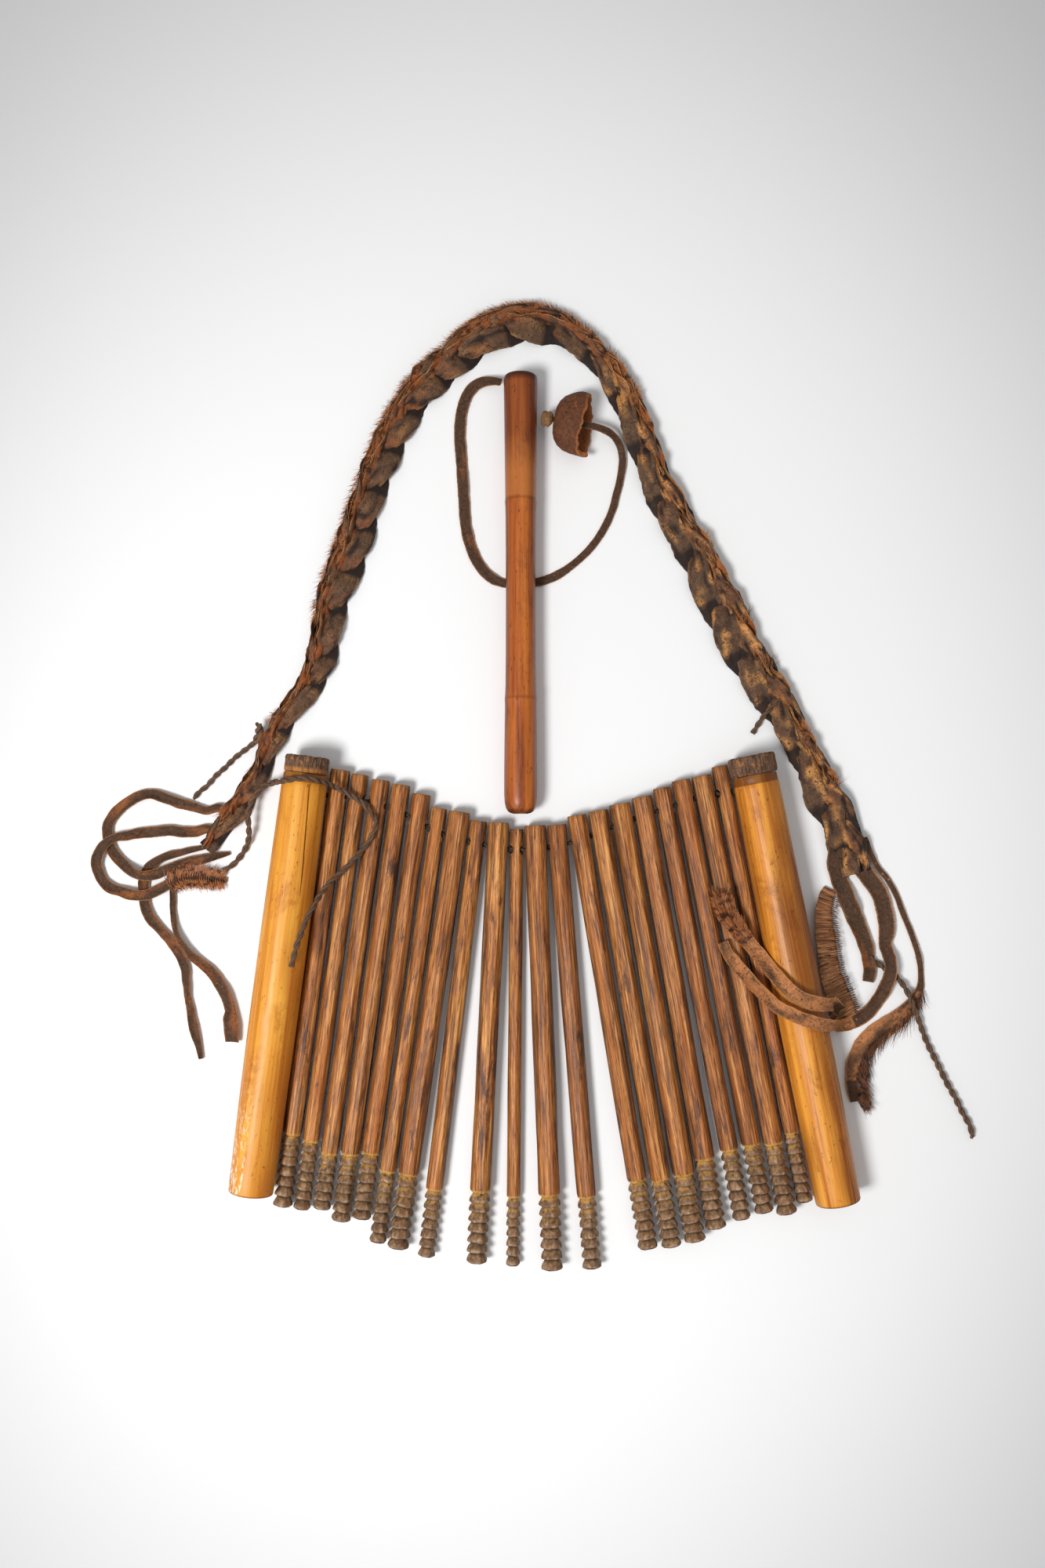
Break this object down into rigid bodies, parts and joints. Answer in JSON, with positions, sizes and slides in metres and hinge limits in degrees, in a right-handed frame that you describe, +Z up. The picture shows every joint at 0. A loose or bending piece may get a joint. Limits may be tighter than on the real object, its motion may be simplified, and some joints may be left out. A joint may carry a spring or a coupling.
{
  "type": "pan flute",
  "caption": "Fan of slim whittled wooden pipes strung on a cord between two stoppered bamboo tubes, with a plaited hide neck strap, loose hide strips and a cane case with a leather cap.",
  "frame": {"origin": "centre of the bounding box's bottom face, without the free cords, strips and strap: on the surface the object lies on", "axes": "+Z up from that surface, +Y towards the pipes' mouths and the top of the strap, +X to the right of someone looking down with +Y away from them"},
  "size_m": [0.6195, 0.6735, 0.0391],
  "materials": {
    "pipe_wood": "hand-whittled, dry, brown",
    "bamboo": "smooth bamboo skin, worn glossy",
    "stopper_wood": "rough dark fibrous wood",
    "case_bamboo": "dark red-brown polished cane",
    "cap_leather": "stiff rough dark leather",
    "hide": "dark greasy hide with hair left on in places",
    "cord_fibre": "two-ply twisted hide cord"
  },
  "bodies": {
    "cord_and_strap": {"stringing_cord": "cord_fibre", "braided_strap": "hide", "left_knot_cord": "cord_fibre", "left_table_cord": "cord_fibre", "left_strip_upper": "hide", "left_strip_lower": "hide", "left_strip_hanging": "hide", "left_strip_thin": "hide", "right_strip_inner": "hide", "right_strip_outer": "hide", "right_hair_strip": "hide", "right_fringe_strip": "hide", "right_twisted_cord": "cord_fibre", "right_short_cord": "cord_fibre"},
    "tube_left": {"bamboo_tube_left": "bamboo", "left_over_cord": "cord_fibre"},
    "tube_right": {"bamboo_tube_right": "bamboo", "right_over_strip_upper": "hide", "right_over_strip_lower": "hide"},
    "stopper_left": {"stopper_left": "stopper_wood"},
    "stopper_right": {"stopper_right": "stopper_wood"},
    "pipe_01": {"pipe_01": "pipe_wood"},
    "pipe_02": {"pipe_02": "pipe_wood"},
    "pipe_03": {"pipe_03": "pipe_wood"},
    "pipe_04": {"pipe_04": "pipe_wood"},
    "pipe_05": {"pipe_05": "pipe_wood"},
    "pipe_06": {"pipe_06": "pipe_wood"},
    "pipe_07": {"pipe_07": "pipe_wood"},
    "pipe_08": {"pipe_08": "pipe_wood"},
    "pipe_09": {"pipe_09": "pipe_wood"},
    "pipe_10": {"pipe_10": "pipe_wood"},
    "pipe_11": {"pipe_11": "pipe_wood"},
    "pipe_12": {"pipe_12": "pipe_wood"},
    "pipe_13": {"pipe_13": "pipe_wood"},
    "pipe_14": {"pipe_14": "pipe_wood"},
    "pipe_15": {"pipe_15": "pipe_wood"},
    "pipe_16": {"pipe_16": "pipe_wood"},
    "pipe_17": {"pipe_17": "pipe_wood"},
    "pipe_18": {"pipe_18": "pipe_wood"},
    "pipe_19": {"pipe_19": "pipe_wood"},
    "pipe_20": {"pipe_20": "pipe_wood"},
    "case": {"case_tube": "case_bamboo", "case_thong": "hide"},
    "cap": {"case_cap": "cap_leather", "cap_knot": "hide"}
  },
  "joints": [
    {"name": "tube_left_swing", "type": "hinge", "parent": "cord_and_strap", "child": "tube_left", "pos_m": [-0.15499, 0.01965, 0.0082], "axis": [0, 0, 1], "range_deg": [0, 4.5]},
    {"name": "tube_right_swing", "type": "hinge", "parent": "cord_and_strap", "child": "tube_right", "pos_m": [0.13632, 0.01907, 0.0082], "axis": [0, 0, -1], "range_deg": [0, 6.66]},
    {"name": "pipe_01_swing", "type": "hinge", "parent": "cord_and_strap", "child": "pipe_01", "pos_m": [-0.144, 0.0193, 0.0067], "axis": [0, 0, 1], "range_deg": [0, 4.56]},
    {"name": "pipe_02_swing", "type": "hinge", "parent": "cord_and_strap", "child": "pipe_02", "pos_m": [-0.1303, 0.017, 0.006], "axis": [0, 0, 1], "range_deg": [0, 4.62]},
    {"name": "pipe_03_swing", "type": "hinge", "parent": "cord_and_strap", "child": "pipe_03", "pos_m": [-0.116, 0.0132, 0.0065], "axis": [0, 0, 1], "range_deg": [0, 4.74]},
    {"name": "pipe_04_swing", "type": "hinge", "parent": "cord_and_strap", "child": "pipe_04", "pos_m": [-0.102, 0.0089, 0.0067], "axis": [0, 0, 1], "range_deg": [0, 4.74]},
    {"name": "pipe_05_swing", "type": "hinge", "parent": "cord_and_strap", "child": "pipe_05", "pos_m": [-0.088, 0.0014, 0.0066], "axis": [0, 0, 1], "range_deg": [0, 4.86]},
    {"name": "pipe_06_swing", "type": "hinge", "parent": "cord_and_strap", "child": "pipe_06", "pos_m": [-0.0752, -0.0054, 0.0059], "axis": [0, 0, 1], "range_deg": [0, 4.86]},
    {"name": "pipe_07_swing", "type": "hinge", "parent": "cord_and_strap", "child": "pipe_07", "pos_m": [-0.0613, -0.0104, 0.0075], "axis": [0, 0, 1], "range_deg": [0, 4.86]},
    {"name": "pipe_08_swing", "type": "hinge", "parent": "cord_and_strap", "child": "pipe_08", "pos_m": [-0.0473, -0.0138, 0.0061], "axis": [0, 0, 1], "range_deg": [0, 4.14]},
    {"name": "pipe_09_swing", "type": "hinge", "parent": "cord_and_strap", "child": "pipe_09", "pos_m": [-0.0324, -0.017, 0.0073], "axis": [0, 0, 1], "range_deg": [0, 1.74]},
    {"name": "pipe_10_swing", "type": "hinge", "parent": "cord_and_strap", "child": "pipe_10", "pos_m": [-0.0192, -0.0186, 0.0049], "axis": [0, 0, 1], "range_deg": [0, 0.301]},
    {"name": "pipe_11_swing", "type": "hinge", "parent": "cord_and_strap", "child": "pipe_11", "pos_m": [-0.0056, -0.018, 0.00765], "axis": [0, 0, -1], "range_deg": [0, 1.32]},
    {"name": "pipe_12_swing", "type": "hinge", "parent": "cord_and_strap", "child": "pipe_12", "pos_m": [0.0099, -0.0156, 0.0068], "axis": [0, 0, -1], "range_deg": [0, 2.76]},
    {"name": "pipe_13_swing", "type": "hinge", "parent": "cord_and_strap", "child": "pipe_13", "pos_m": [0.0255, -0.0112, 0.007], "axis": [0, 0, -1], "range_deg": [0, 5.64]},
    {"name": "pipe_14_swing", "type": "hinge", "parent": "cord_and_strap", "child": "pipe_14", "pos_m": [0.04, -0.0056, 0.0071], "axis": [0, 0, -1], "range_deg": [0, 5.76]},
    {"name": "pipe_15_swing", "type": "hinge", "parent": "cord_and_strap", "child": "pipe_15", "pos_m": [0.055, 0.0002, 0.0076], "axis": [0, 0, -1], "range_deg": [0, 5.88]},
    {"name": "pipe_16_swing", "type": "hinge", "parent": "cord_and_strap", "child": "pipe_16", "pos_m": [0.0702, 0.0056, 0.0073], "axis": [0, 0, -1], "range_deg": [0, 5.88]},
    {"name": "pipe_17_swing", "type": "hinge", "parent": "cord_and_strap", "child": "pipe_17", "pos_m": [0.0845, 0.0104, 0.0065], "axis": [0, 0, -1], "range_deg": [0, 6.36]},
    {"name": "pipe_18_swing", "type": "hinge", "parent": "cord_and_strap", "child": "pipe_18", "pos_m": [0.0981, 0.0148, 0.0067], "axis": [0, 0, -1], "range_deg": [0, 6.6]},
    {"name": "pipe_19_swing", "type": "hinge", "parent": "cord_and_strap", "child": "pipe_19", "pos_m": [0.1123, 0.0188, 0.0071], "axis": [0, 0, -1], "range_deg": [0, 6.66]},
    {"name": "pipe_20_swing", "type": "hinge", "parent": "cord_and_strap", "child": "pipe_20", "pos_m": [0.1259, 0.0212, 0.0058], "axis": [0, 0, -1], "range_deg": [0, 6.66]},
    {"name": "stopper_left_pull", "type": "slide", "parent": "tube_left", "child": "stopper_left", "axis": [0.1305, 0.9914, 0], "range_m": [0, 0.012]},
    {"name": "stopper_right_pull", "type": "slide", "parent": "tube_right", "child": "stopper_right", "axis": [-0.1925, 0.9813, 0], "range_m": [0, 0.012]},
    {"name": "case_lift", "type": "slide", "parent": "cord_and_strap", "child": "case", "axis": [0, 0, 1], "range_m": [0, 0.04]},
    {"name": "cap_lift", "type": "slide", "parent": "case", "child": "cap", "axis": [0, 0, 1], "range_m": [0, 0.03]}
  ],
  "couplings": [
    {"joint": "pipe_01_swing", "follows": "tube_left_swing", "ratio": 1.0133},
    {"joint": "pipe_02_swing", "follows": "tube_left_swing", "ratio": 1.0267},
    {"joint": "pipe_03_swing", "follows": "tube_left_swing", "ratio": 1.0533},
    {"joint": "pipe_04_swing", "follows": "tube_left_swing", "ratio": 1.0533},
    {"joint": "pipe_05_swing", "follows": "tube_left_swing", "ratio": 1.08},
    {"joint": "pipe_06_swing", "follows": "tube_left_swing", "ratio": 1.08},
    {"joint": "pipe_07_swing", "follows": "tube_left_swing", "ratio": 1.08},
    {"joint": "pipe_08_swing", "follows": "tube_left_swing", "ratio": 0.92},
    {"joint": "pipe_09_swing", "follows": "tube_left_swing", "ratio": 0.3867},
    {"joint": "pipe_10_swing", "follows": "tube_left_swing", "ratio": 0.0667},
    {"joint": "pipe_11_swing", "follows": "tube_right_swing", "ratio": 0.1982},
    {"joint": "pipe_12_swing", "follows": "tube_right_swing", "ratio": 0.4144},
    {"joint": "pipe_13_swing", "follows": "tube_right_swing", "ratio": 0.8468},
    {"joint": "pipe_14_swing", "follows": "tube_right_swing", "ratio": 0.8649},
    {"joint": "pipe_15_swing", "follows": "tube_right_swing", "ratio": 0.8829},
    {"joint": "pipe_16_swing", "follows": "tube_right_swing", "ratio": 0.8829},
    {"joint": "pipe_17_swing", "follows": "tube_right_swing", "ratio": 0.955},
    {"joint": "pipe_18_swing", "follows": "tube_right_swing", "ratio": 0.991},
    {"joint": "pipe_19_swing", "follows": "tube_right_swing", "ratio": 1},
    {"joint": "pipe_20_swing", "follows": "tube_right_swing", "ratio": 1}
  ]
}
